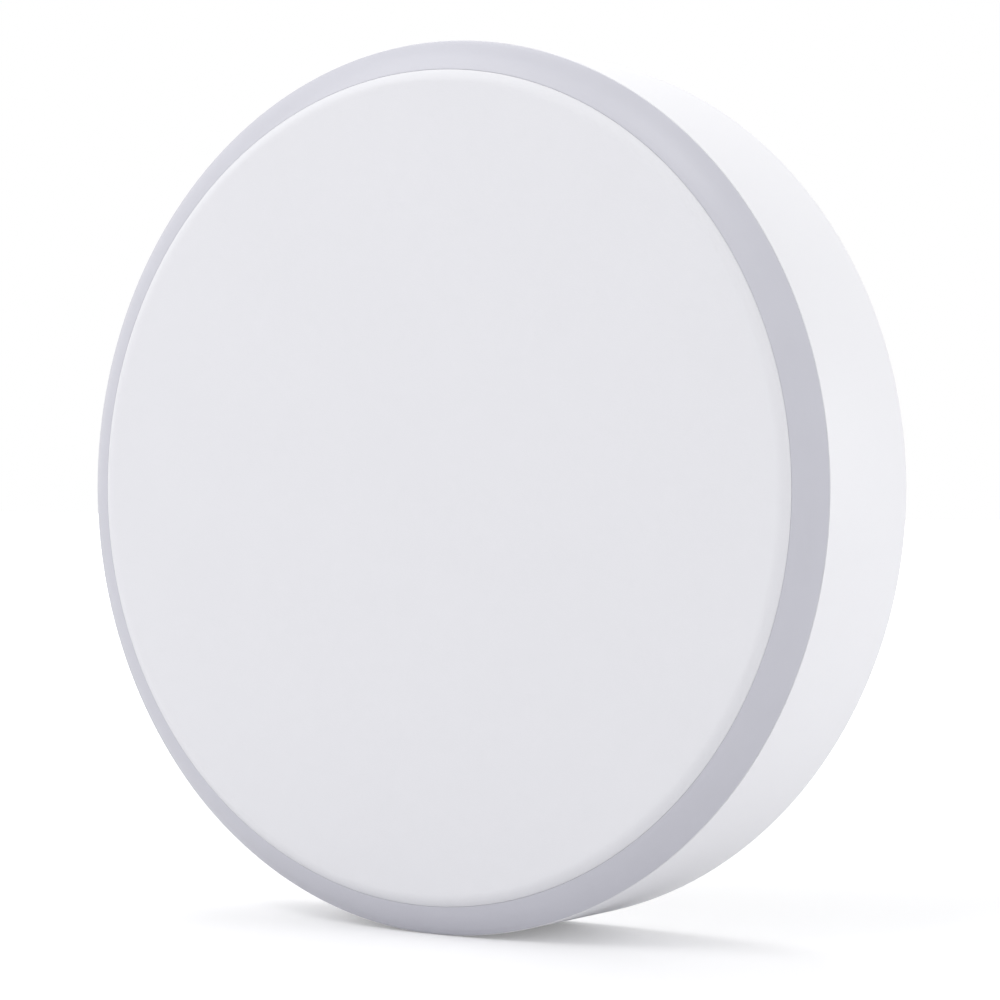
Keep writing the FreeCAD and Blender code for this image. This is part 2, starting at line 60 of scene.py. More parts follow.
# %% [markdown]
# ## The camera
#
# A photograph is matched by finding where its camera stood. The face of a round button is a
# circle, and its image is an ellipse: how narrow the ellipse is gives the angle of view, and how
# much the near side is larger than the far side gives the distance. The camera could be turned to
# look straight at the button, but the photograph's own centre lies beside it, so the camera
# keeps the photograph's direction and is moved sideways until the circle lands on its pixel.

# %% Camera
IMAGE_SIZE = 1000
FACE_CENTRE_PIXEL = (424.0, 488.4)
CAMERA_AZIMUTH = math.radians(34.15)
CAMERA_ELEVATION = math.radians(0.43)
CAMERA_DISTANCE = 175.0 * MM
FOCAL_PIXELS = 3140.0
SENSOR_WIDTH = 36.0
CLIP_START = 1 * MM

rim_low, rim_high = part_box("housing")
ring_low, ring_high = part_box("trim_ring")
cap_low, cap_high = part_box("press_cap")
rim_radius = rim_high.x
edge_circle = Vector((0, ring_low.y, 0))

camera_data = bpy.data.cameras.new("camera")
camera_data.sensor_width = SENSOR_WIDTH
camera_data.lens = FOCAL_PIXELS / IMAGE_SIZE * SENSOR_WIDTH
camera_data.clip_start = CLIP_START
camera = bpy.data.objects.new("camera", camera_data)
bpy.context.collection.objects.link(camera)
camera.rotation_euler = (math.pi / 2 - CAMERA_ELEVATION, 0, CAMERA_AZIMUTH)
turn = camera.rotation_euler.to_matrix()
aside = (FACE_CENTRE_PIXEL[0] - IMAGE_SIZE / 2) / FOCAL_PIXELS * CAMERA_DISTANCE
above = (IMAGE_SIZE / 2 - FACE_CENTRE_PIXEL[1]) / FOCAL_PIXELS * CAMERA_DISTANCE
camera.location = edge_circle - turn @ Vector((aside, above, -CAMERA_DISTANCE))
bpy.context.scene.camera = camera
print("camera at, in mm:", [round(value / MM, 1) for value in camera.location])

# %% [markdown]
# ## The floor
#
# The button stands on its rim on a white surface that melts into a white background. An
# overexposed floor would need more light than the button should get. So the floor is an ordinary
# pale material that catches the button's shadow, and what the camera sees of it is lifted by a
# little light of its own. The lift grows with the distance from the button, so that the floor
# has no visible far end.

# %% Floor
FLOOR_SIZE = 3.0
FLOOR_COLOUR = (0.80, 0.80, 0.81, 1)
FLOOR_ROUGHNESS = 0.6
FLOOR_LIFT = 0.21
LIFT_NEAR = 60 * MM
LIFT_FAR = 140 * MM

def deselect():
    bpy.ops.object.select_all(action="DESELECT")

deselect()
bpy.ops.mesh.primitive_plane_add(size=FLOOR_SIZE, location=(0, 0, -rim_radius))
floor = bpy.context.object
floor.name = "floor"

floor_paint = bpy.data.materials.new("studio_floor")
floor_paint.use_nodes = True
nodes, links = floor_paint.node_tree.nodes, floor_paint.node_tree.links
shader = nodes["Principled BSDF"]
shader.inputs["Base Color"].default_value = FLOOR_COLOUR
shader.inputs["Roughness"].default_value = FLOOR_ROUGHNESS
shader.inputs["Emission Color"].default_value = (1, 1, 1, 1)
path = nodes.new("ShaderNodeLightPath")
distance = nodes.new("ShaderNodeVectorMath")
distance.operation = "LENGTH"
links.new(nodes.new("ShaderNodeTexCoord").outputs["Object"], distance.inputs[0])
lift = nodes.new("ShaderNodeMapRange")
lift.interpolation_type = "SMOOTHSTEP"
lift.inputs["From Min"].default_value = LIFT_NEAR
lift.inputs["From Max"].default_value = LIFT_FAR
lift.inputs["To Min"].default_value = FLOOR_LIFT
lift.inputs["To Max"].default_value = 1.0
links.new(distance.outputs["Value"], lift.inputs["Value"])
seen = nodes.new("ShaderNodeMath")
seen.operation = "MULTIPLY"
links.new(path.outputs["Is Camera Ray"], seen.inputs[0])
links.new(lift.outputs["Result"], seen.inputs[1])
links.new(seen.outputs[0], shader.inputs["Emission Strength"])
floor.data.materials.append(floor_paint)
print("floor at z =", round(-rim_radius / MM, 2), "mm")

# %% [markdown]
# ## The white room
#
# Round the button there is nothing but white. A room as bright as it looks would light the
# button from all sides and leave it flat. So the world is plain white to the camera and to
# reflections, and dimmer as a source of light.

# %% World
AMBIENT = 0.63

bpy.context.scene.view_settings.view_transform = "Standard"

def maximum(nodes, links, first, second):
    """The larger of two values."""
    node = nodes.new("ShaderNodeMath")
    node.operation = "MAXIMUM"
    links.new(first, node.inputs[0])
    links.new(second, node.inputs[1])
    return node.outputs[0]

world = bpy.data.worlds.new("white_room")
bpy.context.scene.world = world
world.use_nodes = True
nodes, links = world.node_tree.nodes, world.node_tree.links
background = nodes["Background"]
background.inputs["Color"].default_value = (1, 1, 1, 1)
path = nodes.new("ShaderNodeLightPath")
seen = maximum(nodes, links, path.outputs["Is Camera Ray"], path.outputs["Is Glossy Ray"])
seen = maximum(nodes, links, seen, path.outputs["Is Transmission Ray"])
strength = nodes.new("ShaderNodeMapRange")
strength.inputs["To Min"].default_value = AMBIENT
strength.inputs["To Max"].default_value = 1.0
links.new(seen, strength.inputs["Value"])
links.new(strength.outputs["Result"], background.inputs["Strength"])
print("world light:", AMBIENT)

# %% [markdown]
# ## Studio lights
#
# The photograph has its main light high on the left in front, which brightens the upper left of
# the ring and draws a pale line along the face's edge. A small one high in front is mirrored by
# the satin ring at the upper right as a soft sheen. A lamp high behind the button lights the top
# of the wall, and a low one at the right, a little behind, fills the side wall but not the front.
# Large area lamps give the soft falloff. Each is placed by its direction from the button.

# %% Lights
LAMP_DISTANCE = 0.6

def add_lamp(name, azimuth, elevation, size, power):
    """A square lamp that looks at the button. Azimuth 0 is in front, and 90 on the right."""
    around, up = math.radians(azimuth), math.radians(elevation)
    towards = Vector((math.sin(around) * math.cos(up), -math.cos(around) * math.cos(up),
                      math.sin(up)))
    data = bpy.data.lights.new(name, "AREA")
    data.size = size
    data.energy = power
    lamp = bpy.data.objects.new(name, data)
    lamp.location = towards * LAMP_DISTANCE
    lamp.rotation_euler = towards.to_track_quat("Z", "Y").to_euler()
    bpy.context.collection.objects.link(lamp)

add_lamp("key_lamp", azimuth=-45, elevation=40, size=0.35, power=1.06)
add_lamp("sheen_lamp", azimuth=4, elevation=45, size=0.16, power=0.42)
add_lamp("rear_lamp", azimuth=-135, elevation=68, size=0.35, power=1.06)
add_lamp("side_lamp", azimuth=110, elevation=5, size=0.35, power=1.45)

# %% [markdown]
# ## Moulded plastic
#
# The cap and the housing come out of steel moulds whose faces are roughened by sparks. Under a
# lens that gives a fine, even grain, and from a step away a soft matte white. One flat colour
# would look like paper, so the material has three small variations: a faint change of tone, a
# change of gloss, and a bump made of two noises, one fine for the sparks' craters and one
# broad for the slight waves of a moulded wall. A photograph of a surface could do the same, but
# noises have no seams and can be set to any scale.

# %% What every material is made of
NOISE_LOW = 0.3
NOISE_HIGH = 0.7

def new_material(name):
    """A material, its nodes and links, its shader and the piece's own coordinates."""
    material = bpy.data.materials.new(name)
    material.use_nodes = True
    nodes, links = material.node_tree.nodes, material.node_tree.links
    place = nodes.new("ShaderNodeTexCoord").outputs["Object"]
    print("material:", name)
    return material, nodes, links, nodes["Principled BSDF"], place

def noise(nodes, links, coordinates, feature, detail=3.0):
    """A noise whose blobs are about as wide as feature, in metres."""
    texture = nodes.new("ShaderNodeTexNoise")
    texture.inputs["Scale"].default_value = 1 / feature
    texture.inputs["Detail"].default_value = detail
    links.new(coordinates, texture.inputs["Vector"])
    return texture.outputs["Fac"]

def spread(nodes, links, value, low, high):
    """Maps the middle of a noise to the range from low to high."""
    ranged = nodes.new("ShaderNodeMapRange")
    ranged.inputs["From Min"].default_value = NOISE_LOW
    ranged.inputs["From Max"].default_value = NOISE_HIGH
    ranged.inputs["To Min"].default_value = low
    ranged.inputs["To Max"].default_value = high
    links.new(value, ranged.inputs["Value"])
    return ranged.outputs["Result"]

def tone(nodes, links, value, colour, shade):
    """Mixes a colour with a darker shade of it by a noise."""
    mix = nodes.new("ShaderNodeMix")
    mix.data_type = "RGBA"
    mix.inputs["A"].default_value = (*[channel * shade for channel in colour], 1)
    mix.inputs["B"].default_value = (*colour, 1)
    links.new(value, mix.inputs["Factor"])
    return mix.outputs["Result"]

def bump(nodes, links, height, depth, strength, under=None):
    """Raises the surface by a height in metres, on top of another bump if one is given."""
    node = nodes.new("ShaderNodeBump")
    node.inputs["Distance"].default_value = depth
    node.inputs["Strength"].default_value = strength
    links.new(height, node.inputs["Height"])
    if under:
        links.new(under, node.inputs["Normal"])
    return node.outputs["Normal"]

# %% Moulded plastic
PLASTIC_CLOUD = 9 * MM
PLASTIC_WAVE = 6 * MM
WAVE_DEPTH = 0.02 * MM
WAVE_STRENGTH = 0.3
FINE_GRAIN = 0.09 * MM
COARSE_GRAIN = 0.14 * MM
GRAIN_DEPTH = 0.004 * MM
PLASTIC_SHADE = 0.985
PLASTIC_GLOSS = 0.04
PLASTIC_SPECULAR = 0.45

def moulded_plastic(name, colour, roughness, grain=FINE_GRAIN):
    """A matte plastic with a spark-eroded grain."""
    material, nodes, links, shader, place = new_material(name)
    cloud = noise(nodes, links, place, PLASTIC_CLOUD)
    speckle = noise(nodes, links, place, grain, detail=2.0)
    wave = noise(nodes, links, place, PLASTIC_WAVE, detail=1.0)
    average = nodes.new("ShaderNodeMath")
    average.operation = "MULTIPLY_ADD"
    average.inputs[1].default_value = 1 / 2
    links.new(speckle, average.inputs[0])
    half = nodes.new("ShaderNodeMath")
    half.operation = "MULTIPLY"
    half.inputs[1].default_value = 1 / 2
    links.new(cloud, half.inputs[0])
    links.new(half.outputs[0], average.inputs[2])
    shade = spread(nodes, links, average.outputs[0], 0, 1)
    links.new(tone(nodes, links, shade, colour, PLASTIC_SHADE), shader.inputs["Base Color"])
    links.new(spread(nodes, links, cloud, roughness - PLASTIC_GLOSS, roughness + PLASTIC_GLOSS),
              shader.inputs["Roughness"])
    broad = bump(nodes, links, wave, WAVE_DEPTH, WAVE_STRENGTH)
    links.new(bump(nodes, links, speckle, GRAIN_DEPTH, 1.0, broad), shader.inputs["Normal"])
    shader.inputs["Specular IOR Level"].default_value = PLASTIC_SPECULAR
    return material

CAP_WHITE = (0.780, 0.780, 0.815)
SHELL_WHITE = (0.825, 0.825, 0.855)
COVER_WHITE = (0.760, 0.760, 0.770)

cap_plastic = moulded_plastic("cap_plastic", CAP_WHITE, roughness=0.52)
shell_plastic = moulded_plastic("shell_plastic", SHELL_WHITE, roughness=0.46)
cover_plastic = moulded_plastic("cover_plastic", COVER_WHITE, roughness=0.55, grain=COARSE_GRAIN)

# %% [markdown]
# ## Satin grey for the trim ring
#
# The ring is the one piece in another colour: a smooth grey plastic with a satin surface, which
# catches the light in a soft band. The steel of its mould is turned on a lathe, so very fine
# lines run round the ring. A noise stretched round the axis could draw them, but here a wave
# texture in rings about the button's own axis does it with one node, which draws about three
# lines over its scale, and a noise breaks up the gloss.

# %% Satin grey
RING_GREY = (0.585, 0.585, 0.645)
RING_SHADE = 0.96
RING_CLOUD = 3 * MM
RING_ROUGHNESS = (0.33, 0.37)
LINE_SCALE = 0.9 * MM
LINE_DISTORTION = 1.2
LINE_DEPTH = 0.002 * MM
LINE_STRENGTH = 0.6
RING_GRAIN = 0.12 * MM
RING_GRAIN_STRENGTH = 0.8

def satin_ring(name, colour):
    """A satin plastic with very fine lines that run round the button's axis."""
    material, nodes, links, shader, place = new_material(name)
    lines = nodes.new("ShaderNodeTexWave")
    lines.wave_type = "RINGS"
    lines.rings_direction = "Y"
    lines.inputs["Scale"].default_value = 1 / LINE_SCALE
    lines.inputs["Distortion"].default_value = LINE_DISTORTION
    lines.inputs["Detail"].default_value = 2.0
    links.new(place, lines.inputs["Vector"])
    cloud = noise(nodes, links, place, RING_CLOUD)
    links.new(tone(nodes, links, cloud, colour, RING_SHADE), shader.inputs["Base Color"])
    links.new(spread(nodes, links, cloud, *RING_ROUGHNESS), shader.inputs["Roughness"])
    grain = noise(nodes, links, place, RING_GRAIN, detail=2.0)
    fine = bump(nodes, links, grain, LINE_DEPTH, RING_GRAIN_STRENGTH)
    links.new(bump(nodes, links, lines.outputs["Fac"], LINE_DEPTH, LINE_STRENGTH, fine),
              shader.inputs["Normal"])
    return material

ring_satin = satin_ring("ring_satin", RING_GREY)

# %% [markdown]
# ## Turning a moulding from its section
#
# Every outer piece of this button is round, so each is made as on a lathe: its section is drawn
# as a line of points on one side of the axis, and the line is spun round the axis. A cylinder
# could be inset and extruded instead, but the section shows at a glance which step belongs to
# which size. The line starts as a plane whose corners are merged into one point, and each
# further point is extruded from the one before. Sharp corners are then broken by a small bevel,
# because no moulded edge is perfectly sharp and a rounded one catches a thin line of light.

# %% Lathe
SPIN_STEPS = 192
MERGE = 0.0001 * MM

def arc(centre, radius, first, last, steps):
    """Points on an arc of a section, with angles measured from the radial direction."""
    angles = [math.radians(first + (last - first) * index / steps) for index in range(steps + 1)]
    return [(centre[0] + radius * math.cos(a), centre[1] + radius * math.sin(a)) for a in angles]

def draw_section(name, points):
    """Draws (radius, y) points as a chain of edges, by extruding one point after another."""
    deselect()
    first = Vector((points[0][0], points[0][1], 0))
    bpy.ops.mesh.primitive_plane_add(size=MM, location=first)
    piece = bpy.context.object
    piece.name = name
    bpy.ops.object.mode_set(mode="EDIT")
    bpy.ops.mesh.select_all(action="SELECT")
    bpy.ops.mesh.merge(type="CENTER")
    for before, after in zip(points, points[1:]):
        step = (after[0] - before[0], after[1] - before[1], 0)
        bpy.ops.mesh.extrude_vertices_move(TRANSFORM_OT_translate={"value": step})
    bpy.ops.object.mode_set(mode="OBJECT")
    bpy.ops.object.transform_apply(location=True, rotation=False, scale=False)
    return piece

def spin_round(piece):
    """Spins the drawn section all the way round the button's axis and closes the seam."""
    bpy.ops.object.mode_set(mode="EDIT")
    bpy.ops.mesh.select_all(action="SELECT")
    bpy.ops.mesh.spin(steps=SPIN_STEPS, angle=2 * math.pi, center=(0, 0, 0), axis=(0, 1, 0))
    bpy.ops.mesh.select_all(action="SELECT")
    bpy.ops.mesh.remove_doubles(threshold=MERGE)
    bpy.ops.mesh.normals_make_consistent(inside=False)
    bpy.ops.object.mode_set(mode="OBJECT")

# %% Edges and shading
SHARP_ANGLE = 25
SMOOTH_ANGLE = 28

def break_edges(piece, width, segments=3, angle=SHARP_ANGLE):
    """Rounds every edge that is sharper than the angle."""
    bevel = piece.modifiers.new("broken edges", "BEVEL")
    bevel.width = width
    bevel.segments = segments
    bevel.limit_method = "ANGLE"
    bevel.angle_limit = math.radians(angle)
    bpy.context.view_layer.objects.active = piece
    bpy.ops.object.modifier_apply(modifier=bevel.name)

def smooth(piece, angle=SMOOTH_ANGLE):
    """Shades a piece smooth, but for the edges that are sharper than the angle."""
    deselect()
    piece.select_set(True)
    bpy.context.view_layer.objects.active = piece
    bpy.ops.object.shade_smooth_by_angle(angle=math.radians(angle))

def turn_piece(name, points, edge, segments=3):
    """A finished turned piece: drawn, spun, with its edges broken and shaded smooth."""
    piece = draw_section(name, points)
    spin_round(piece)
    if edge:
        break_edges(piece, edge, segments)
    smooth(piece)
    return piece

# %% What every finished piece is given
FAR_CORNER = 6

def dress(piece, material, body, slot, *nodes):
    """Gives a piece its finish and its body, and hides the CAD nodes that it stands for."""
    piece.data.materials.clear()
    piece.data.materials.append(material)
    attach(piece, body)
    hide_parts(*nodes)
    low, high = Vector(piece.bound_box[0]), Vector(piece.bound_box[FAR_CORNER])
    print(piece.name, "triangles:", sum(len(face.vertices) - 2 for face in piece.data.polygons),
          "size in mm:", [round(side / MM, 2) for side in high - low])

# %% [markdown]
# ## Solid details on a turned piece
#
# Hooks, ribs and lugs are small blocks that repeat round the axis. One block is drawn as a
# section and given its width, and then copies are turned about the axis and joined to the turned
# piece by a boolean. A boolean also cuts the slots and notches. The exact solver is used, because
# many of the faces meet edge to edge. It is slow on a round piece with many faces, so as many
# blocks as can be go through it together. It leaves a few points that all but touch, and these
# are merged.

# %% Blocks
def add_block(name, points, width):
    """A (radius, y) outline given a width along Z, centred on the X axis."""
    piece = draw_section(name, points + points[:1])
    bpy.ops.object.mode_set(mode="EDIT")
    bpy.ops.mesh.select_all(action="SELECT")
    bpy.ops.mesh.remove_doubles(threshold=MERGE)
    bpy.ops.mesh.edge_face_add()
    bpy.ops.mesh.extrude_region_move(TRANSFORM_OT_translate={"value": (0, 0, width)})
    bpy.ops.mesh.select_all(action="SELECT")
    bpy.ops.transform.translate(value=(0, 0, -width / 2))
    bpy.ops.mesh.normals_make_consistent(inside=False)
    bpy.ops.object.mode_set(mode="OBJECT")
    return piece

def rectangle(near, far, low, high):
    """The (radius, y) corners of a plain section."""
    return [(near, low), (far, low), (far, high), (near, high)]

def spaced(count, start):
    """Equal angles round the axis, in degrees."""
    return [start + 360 * index / count for index in range(count)]

# %% Copies and booleans
BOOLEAN_MERGE = 0.0005 * MM

def copies_at(piece, angles):
    """Copies of a piece, turned round the button's axis to each of the angles."""
    found = []
    deselect()
    for angle in angles:
        copy = bpy.data.objects.new(piece.name, piece.data.copy())
        bpy.context.collection.objects.link(copy)
        copy.rotation_euler.y = -math.radians(angle)
        copy.select_set(True)
        found.append(copy)
    bpy.data.objects.remove(piece)
    bpy.context.view_layer.objects.active = found[0]
    bpy.ops.object.transform_apply(location=False, rotation=True, scale=False)
    return found

def combine(piece, tools, operation):
    """Joins tools to a piece or cuts them out all at once, and removes them."""
    deselect()
    for tool in tools:
        tool.select_set(True)
    joined = tools[0]
    bpy.context.view_layer.objects.active = joined
    if len(tools) > 1:
        bpy.ops.object.join()
    change = piece.modifiers.new(operation, "BOOLEAN")
    change.operation = operation
    change.solver = "EXACT"
    change.object = joined
    deselect()
    piece.select_set(True)
    bpy.context.view_layer.objects.active = piece
    bpy.ops.object.modifier_apply(modifier=change.name)
    bpy.data.objects.remove(joined)
    bpy.ops.object.mode_set(mode="EDIT")
    bpy.ops.mesh.select_all(action="SELECT")
    bpy.ops.mesh.remove_doubles(threshold=BOOLEAN_MERGE)
    bpy.ops.object.mode_set(mode="OBJECT")

# %% [markdown]
# ## The press cap
#
# The cap is the button's whole face. Its edge is not a quarter circle: it falls away gently and
# stops at about half of a right angle, so that it meets the ring's slope. Behind the face are a
# skirt, ribs that keep the wide plate stiff, a boss that presses the switch and four hooks that
# catch behind the housing's deck.

# %% Press cap
EDGE_WIDTH = 0.72 * MM
EDGE_DEPTH = 0.32 * MM
EDGE_STEPS = 14
CAP_PLATE = 1.4 * MM
SKIRT_WALL = 0.98 * MM
SKIRT_DEPTH = 0.35 * MM

cap_radius = cap_high.x
face_y = cap_low.y
under_y = face_y + CAP_PLATE
arc_radius = (EDGE_WIDTH ** 2 + EDGE_DEPTH ** 2) / (2 * EDGE_DEPTH)
arc_angle = math.degrees(math.asin(EDGE_WIDTH / arc_radius))
arc_centre = (cap_radius - EDGE_WIDTH, face_y + arc_radius)
cap_section = [(0, face_y)]
cap_section += arc(arc_centre, arc_radius, -90, -90 + arc_angle, EDGE_STEPS)
cap_section += [(cap_radius, under_y + SKIRT_DEPTH),
                (cap_radius - SKIRT_WALL, under_y + SKIRT_DEPTH),
                (cap_radius - SKIRT_WALL, under_y),
                (0, under_y)]
press_cap = turn_piece("press_cap_moulding", cap_section, edge=0)
print("the cap's edge falls away by", round(arc_angle, 1), "degrees")

# %% Cap hooks
HOOK_LEG = 1.0 * MM
HOOK_REACH = 0.55 * MM
HOOK_LAND = 0.25 * MM
HOOK_TIP = 0.7 * MM
HOOK_WIDTH = 4.6 * MM
HOOK_INSET = 0.7 * MM
HOOK_COUNT = 4
HOOK_START = 45
SINK = 0.2 * MM

hook_outer = cap_radius - SKIRT_WALL - HOOK_INSET
hook_end = cap_high.y
hook_land = hook_end - HOOK_TIP - HOOK_LAND
hook = add_block("hook", [
    (hook_outer - HOOK_LEG, under_y - SINK),
    (hook_outer, under_y - SINK),
    (hook_outer, hook_land),
    (hook_outer + HOOK_REACH, hook_land),
    (hook_outer + HOOK_REACH, hook_land + HOOK_LAND),
    (hook_outer, hook_end),
    (hook_outer - HOOK_LEG, hook_end)], HOOK_WIDTH)
print("hook length in mm:", round((hook_end - under_y) / MM, 2))

# %% Cap ribs and boss
RIB_WIDTH = 0.8 * MM
RIB_DEPTH = 0.9 * MM
BOSS_RADIUS = 1.8 * MM
BOSS_HEIGHT = 1.05 * MM
RIB_END = 13.6 * MM
RIB_COUNT = 8

rib = add_block("rib", rectangle(BOSS_RADIUS - SINK, RIB_END, under_y - SINK,
                                 under_y + RIB_DEPTH), RIB_WIDTH)
boss = draw_section("boss", [(0, under_y - SINK), (BOSS_RADIUS, under_y - SINK),
                             (BOSS_RADIUS, under_y + BOSS_HEIGHT), (0, under_y + BOSS_HEIGHT)])
spin_round(boss)
combine(press_cap, [boss], "UNION")
combine(press_cap, copies_at(hook, spaced(HOOK_COUNT, HOOK_START))
        + copies_at(rib, spaced(RIB_COUNT, 0)), "UNION")
smooth(press_cap)
dress(press_cap, cap_plastic, "press_cap", "cap_white", "press_cap")

# %% [markdown]
# ## The trim ring
#
# The grey ring slopes from the face down to the rim. A straight slope would be lit evenly. The
# real one shows a pale streak along it, so it is drawn as a very flat arch. Behind the slope is
# a foot that stands on the housing's deck. The ring's outer edge is almost a knife edge, so its
# edges are hardly broken. The gap to the cap is as fine as in the photograph. Four small keys on
# the foot fit into pockets of the housing, so that the ring can't turn.

# %% Flat arch
def bow(first, last, rise, steps):
    """Points along a flat arch between two points, the ends left out."""
    across, along = last[0] - first[0], last[1] - first[1]
    length = math.hypot(across, along)
    points = []
    for step in range(1, steps):
        part = step / steps
        lift = rise * 4 * part * (1 - part) / length
        points.append((first[0] + across * part - along * lift,
                       first[1] + along * part + across * lift))
    return points

# %% Trim ring
RING_EDGE = 0.008 * MM
RING_FOOT = 0.87 * MM
CAP_GAP = 0.012 * MM
RIM_GAP = 0.03 * MM
LIP_GAP = 0.02 * MM
RING_CROWN = 0.1 * MM
RING_STEPS = 14

ring_bore = cap_radius + CAP_GAP
ring_outer = ring_high.x
foot_y = ring_high.y
lip_y = rim_low.y - LIP_GAP
slope_start = (ring_outer, lip_y - RIM_GAP)
slope_end = (ring_bore, ring_low.y)
ring_section = [
    (ring_bore, foot_y),
    (ring_bore + RING_FOOT, foot_y),
    (ring_bore + RING_FOOT, lip_y),
    (ring_outer, lip_y),
    slope_start]
ring_section += bow(slope_start, slope_end, RING_CROWN, RING_STEPS) + [slope_end]
trim_ring = turn_piece("trim_ring_moulding", ring_section + ring_section[:1], edge=RING_EDGE)
print("ring width in mm:", round((ring_outer - ring_bore) / MM, 2))

# %% Ring keys
KEY_COUNT = 4
KEY_WIDTH = 2.0 * MM
KEY_REACH = 0.37 * MM

key = add_block("key", rectangle(ring_bore + RING_FOOT - SINK, ring_bore + RING_FOOT + KEY_REACH,
                                 lip_y - RIM_GAP, foot_y), KEY_WIDTH)
combine(trim_ring, copies_at(key, spaced(KEY_COUNT, 0)), "UNION")
smooth(trim_ring)
dress(trim_ring, ring_satin, "button_body", "ring_grey", "trim_ring")

# %% [markdown]
# ## Cutting and joining sectors
#
# The bayonet lock is made of arcs: three notches in the housing's flange let three lugs of the
# wall plate through, and short ribs stop the turn. An arc is a section that is spun through part
# of a circle instead of all the way round.

# %% Sectors
SECTOR_STEPS = 12
PEG_STEPS = 32

def add_sector(name, points, sweep):
    """A closed (radius, y) outline spun through an arc that starts at the X axis."""
    piece = draw_section(name, points + points[:1])
    bpy.ops.object.mode_set(mode="EDIT")
    bpy.ops.mesh.select_all(action="SELECT")
    bpy.ops.mesh.remove_doubles(threshold=MERGE)
    bpy.ops.mesh.edge_face_add()
    bpy.ops.mesh.spin(steps=SECTOR_STEPS, angle=math.radians(sweep), center=(0, 0, 0),
                      axis=(0, 1, 0))
    bpy.ops.mesh.select_all(action="SELECT")
    bpy.ops.mesh.remove_doubles(threshold=MERGE)
    bpy.ops.mesh.normals_make_consistent(inside=False)
    bpy.ops.object.mode_set(mode="OBJECT")
    return piece

def add_peg(name, circle, radius, low, high, steps=PEG_STEPS):
    """A round peg whose axis stands at a distance from the button's axis."""
    deselect()
    bpy.ops.mesh.primitive_cylinder_add(vertices=steps, radius=radius, depth=high - low,
                                        location=(circle, (low + high) / 2, 0),
                                        rotation=(math.pi / 2, 0, 0))
    piece = bpy.context.object
    piece.name = name
    bpy.ops.object.transform_apply(location=True, rotation=True, scale=True)
    return piece

# %% [markdown]
# ## The housing
#
# One moulding makes the side wall, a flange across its back and a deck across its front. It
# could be built as a tube with two discs, but on a real moulding the three run into each other,
# so the whole section is drawn as one line. The back edge is rounded, the rim under the trim
# ring is only broken. The deck then gets its screw bosses and the slots for the cap's hooks,
# and the flange gets the bayonet's notches and stops.

# %% Housing
WALL = 1.5 * MM
RIM_WALL = 0.8 * MM
FLANGE = 1.2 * MM
FLANGE_WIDTH = 2.5 * MM
DECK = 0.8 * MM
DECK_WIDTH = 9.5 * MM
DECK_LIP_WIDTH = 0.8 * MM
DECK_LIP_DEPTH = 0.6 * MM
BACK_ROUND = 0.3 * MM
BACK_ROUND_STEPS = 10
MOULD_EDGE = 0.03 * MM
SEAT_GAP = 0.02 * MM

wall_bore = rim_radius - WALL
rebate = rim_radius - RIM_WALL
flange_bore = wall_bore - FLANGE_WIDTH
deck_bore = wall_bore - DECK_WIDTH
back_y = rim_high.y
flange_y = back_y - FLANGE
deck_y = foot_y + SEAT_GAP
deck_back_y = deck_y + DECK

back_edge = arc((rim_radius - BACK_ROUND, back_y - BACK_ROUND), BACK_ROUND, 0, 90,
                BACK_ROUND_STEPS)
housing_section = [(rebate, rim_low.y), (rim_radius, rim_low.y)] + back_edge + [
    (flange_bore, back_y),
    (flange_bore, flange_y),
    (wall_bore, flange_y),
    (wall_bore, deck_back_y),
    (deck_bore + DECK_LIP_WIDTH, deck_back_y),
    (deck_bore + DECK_LIP_WIDTH, deck_back_y + DECK_LIP_DEPTH),
    (deck_bore, deck_back_y + DECK_LIP_DEPTH),
    (deck_bore, deck_y),
    (rebate, deck_y)]
housing = turn_piece("housing_moulding", housing_section + housing_section[:1],
                     edge=MOULD_EDGE, segments=2)
print("housing section corners:", len(housing_section))

# %% [markdown]
# The ribs and bosses come first and the openings after them, so that a notch cuts through
# everything that stands in its way, as the mould's steel does.

# %% Housing ribs and bosses
GUSSET_DEPTH = 0.8 * MM
GUSSET_WIDTH = 0.8 * MM
GUSSET_COUNT = 6
GUSSET_START = 60
COLLAR_DEPTH = 0.85 * MM
GUSSET_CLEARANCE = 0.6 * MM
SCREW_COUNT = 3
SCREW_START = 90
SCREW_CIRCLE = 17.5 * MM
SCREW_BOSS = 1.9 * MM
SCREW_HOLE = 0.72 * MM
SCREW_HOLE_END = 7.85 * MM
PIN_RADIUS = 0.6 * MM
PIN_ANGLES = (30, 150)
PIN_GAP = 0.1 * MM
LUG_COUNT = 3
LUG_START = 90
LUG_ANGLE = 24
LUG_REACH = 1.2 * MM
PLATE_GAP = 0.2 * MM
STOP_ANGLE = 3
STOP_DEPTH = 1.0 * MM
STOP_OVERLAP = 0.8 * MM
STOP_SPARE = 0.8
UNLOCK_TURN = 30

board_low, board_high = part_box("circuit_board")
lug_radius = flange_bore - PLATE_GAP + LUG_REACH
gusset = add_block("gusset", rectangle(wall_bore - GUSSET_DEPTH, wall_bore + SINK,
                                       deck_back_y - SINK,
                                       flange_y - COLLAR_DEPTH - GUSSET_CLEARANCE), GUSSET_WIDTH)
boss = add_peg("boss", SCREW_CIRCLE, SCREW_BOSS, deck_back_y - SINK, board_low.y - SEAT_GAP)
pin = add_peg("pin", SCREW_CIRCLE, PIN_RADIUS, deck_back_y - SINK, board_high.y - PIN_GAP)
stop = add_sector("stop", rectangle(lug_radius - STOP_OVERLAP, wall_bore + SINK,
                                    flange_y - STOP_DEPTH, flange_y + SINK), STOP_ANGLE)
rest_side = LUG_START + LUG_ANGLE / 2 + STOP_SPARE
end_side = LUG_START - LUG_ANGLE / 2 - UNLOCK_TURN - STOP_SPARE - STOP_ANGLE
